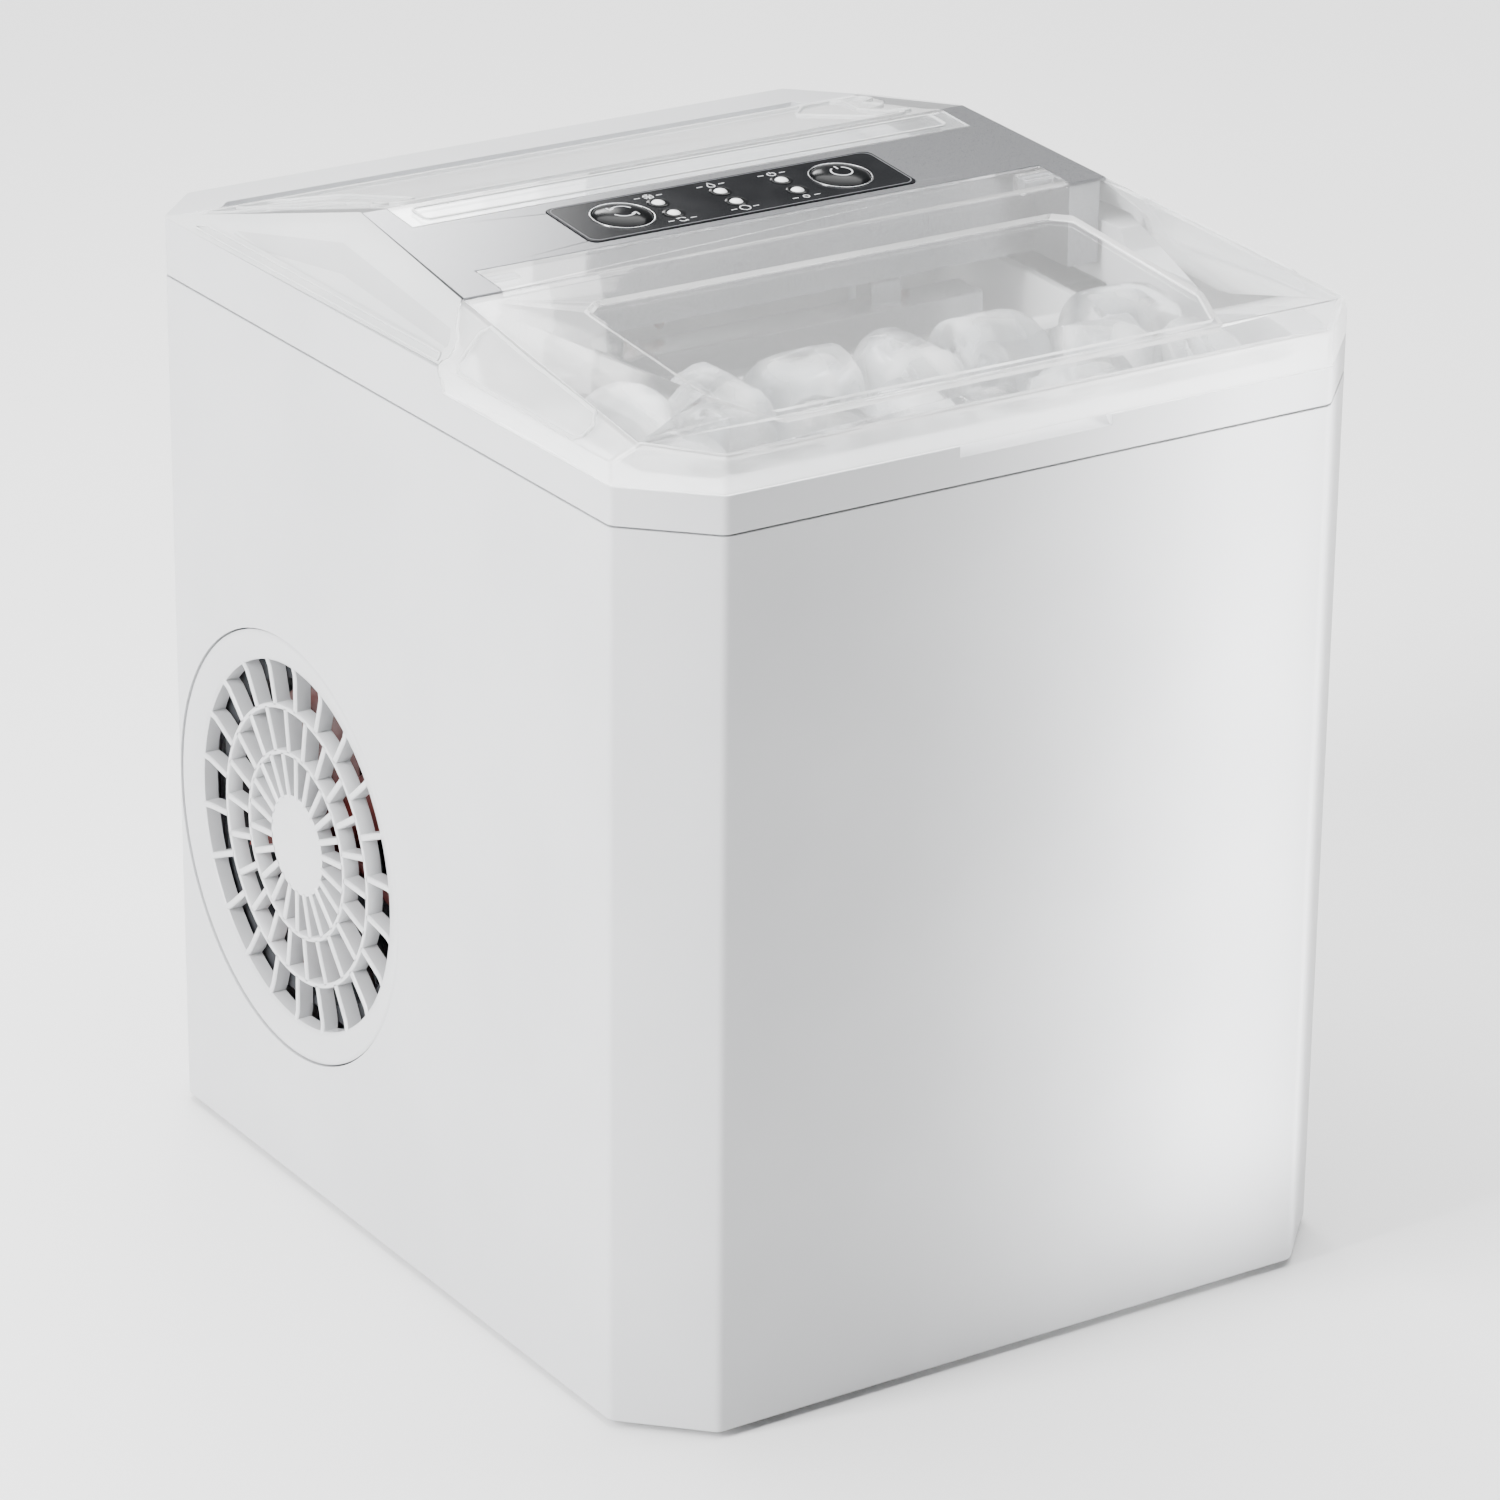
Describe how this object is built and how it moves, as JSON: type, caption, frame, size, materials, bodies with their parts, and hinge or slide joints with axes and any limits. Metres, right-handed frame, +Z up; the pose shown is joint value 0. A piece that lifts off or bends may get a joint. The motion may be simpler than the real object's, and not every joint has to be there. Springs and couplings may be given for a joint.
{
  "type": "ice maker",
  "caption": "Countertop bullet-ice maker: white chamfered cabinet, clear hinged front lid, silver bridge with two keys and status lights, clear rear window and a round side fan grille.",
  "frame": {"origin": "centre of the footprint at the bottom of the feet", "axes": "+Z up; front, with the lid, towards -Y; +X to the right when the front is seen from above it with +Y away"},
  "size_m": [0.23, 0.271, 0.2892],
  "materials": {
    "white_shell": "satin moulded ABS",
    "frosted_plastic": "milky translucent moulding",
    "clear_plastic": "clear polished moulding",
    "silver_bridge": "silver-grey satin lacquer",
    "charcoal_panel": "gloss printed film",
    "led_lens": "milky lens",
    "light_grey_plastic": "fine moulded grain",
    "dark_plastic": "moulded",
    "copper_tube": "drawn copper",
    "nickel_plate": "bright nickel plate",
    "steel": "zinc-plated",
    "black_enamel": "baked black enamel",
    "aluminium_fin": "mill finish",
    "rubber": "matt",
    "foam": "closed-cell foam",
    "circuit_board": "solder mask",
    "silicone_hose": "translucent silicone"
  },
  "bodies": {
    "housing": {"back_panel": "white_shell", "back_screw_1": "steel", "back_screw_2": "steel", "back_screw_3": "steel", "back_screw_4": "steel", "base_pan": "light_grey_plastic", "bin_liner": "light_grey_plastic", "bridge": "silver_bridge", "cabinet_shell": "white_shell", "capillary_tube": "copper_tube", "cheek_cover_left": "frosted_plastic", "cheek_cover_right": "frosted_plastic", "compressor": "black_enamel", "compressor_grommet_1": "rubber", "compressor_grommet_2": "rubber", "compressor_grommet_3": "rubber", "condenser": "aluminium_fin", "control_board": "circuit_board", "control_panel": "charcoal_panel", "cord_gland": "rubber", "discharge_tube": "copper_tube", "evaporator": "nickel_plate", "fan_grille": "white_shell", "fan_motor": "steel", "fan_shroud": "dark_plastic", "filter_drier": "copper_tube", "foot_front_left": "rubber", "foot_front_right": "rubber", "foot_rear_left": "rubber", "foot_rear_right": "rubber", "ice_full_sensor_left": "dark_plastic", "ice_full_sensor_right": "dark_plastic", "insulation_foam": "foam", "led_lens_1": "led_lens", "led_lens_2": "led_lens", "led_lens_3": "led_lens", "led_lens_4": "led_lens", "led_lens_5": "led_lens", "led_lens_6": "led_lens", "level_sensor_post": "dark_plastic", "power_board": "circuit_board", "pump_hose": "silicone_hose", "rear_deck": "light_grey_plastic", "rear_window": "clear_plastic", "suction_tube": "copper_tube", "tray_motor": "dark_plastic", "upper_housing": "white_shell", "water_pump": "dark_plastic"},
    "lid": {"front_lid": "clear_plastic", "hinge_pin_left": "steel", "hinge_pin_right": "steel"},
    "fan": {"fan_blade": "dark_plastic"},
    "select_key": {"select_button": "charcoal_panel"},
    "power_key": {"power_button": "charcoal_panel"},
    "basket": {"ice_basket": "frosted_plastic"},
    "tray": {"water_tray": "light_grey_plastic"},
    "shovel": {"ice_shovel": "light_grey_plastic"},
    "float": {"level_float": "white_shell"},
    "drain_cap": {"drain_plug": "dark_plastic"}
  },
  "joints": [
    {"name": "lid_hinge", "type": "hinge", "parent": "housing", "child": "lid", "pos_m": [0, -0.012, 0.281], "axis": [-1, 0, 0], "range_deg": [0, 100]},
    {"name": "fan_spin", "type": "hinge", "parent": "housing", "child": "fan", "pos_m": [-0.0995, 0.0563, 0.1032], "axis": [-1, 0, 0], "continuous": true},
    {"name": "select_press", "type": "slide", "parent": "housing", "child": "select_key", "axis": [0, 0.0867, -0.9962], "range_m": [0, 0.0008], "stiffness_N_per_m": 900},
    {"name": "power_press", "type": "slide", "parent": "housing", "child": "power_key", "axis": [0, 0.0867, -0.9962], "range_m": [0, 0.0008], "stiffness_N_per_m": 900},
    {"name": "basket_lift", "type": "slide", "parent": "housing", "child": "basket", "axis": [0, 0, 1], "range_m": [0, 0.008]},
    {"name": "tray_tilt", "type": "hinge", "parent": "housing", "child": "tray", "pos_m": [0, 0.004, 0.232], "axis": [1, 0, 0], "range_deg": [0, 45]},
    {"name": "shovel_swing", "type": "hinge", "parent": "housing", "child": "shovel", "pos_m": [0, -0.0269, 0.246], "axis": [-1, 0, 0], "range_deg": [0, 45]},
    {"name": "float_rise", "type": "slide", "parent": "housing", "child": "float", "axis": [0, 0, 1], "range_m": [0, 0.03]},
    {"name": "drain_pull", "type": "slide", "parent": "housing", "child": "drain_cap", "axis": [1, 0, 0], "range_m": [0, 0.02]}
  ],
  "couplings": [
    {"joint": "shovel_swing", "follows": "tray_tilt", "ratio": 1}
  ]
}
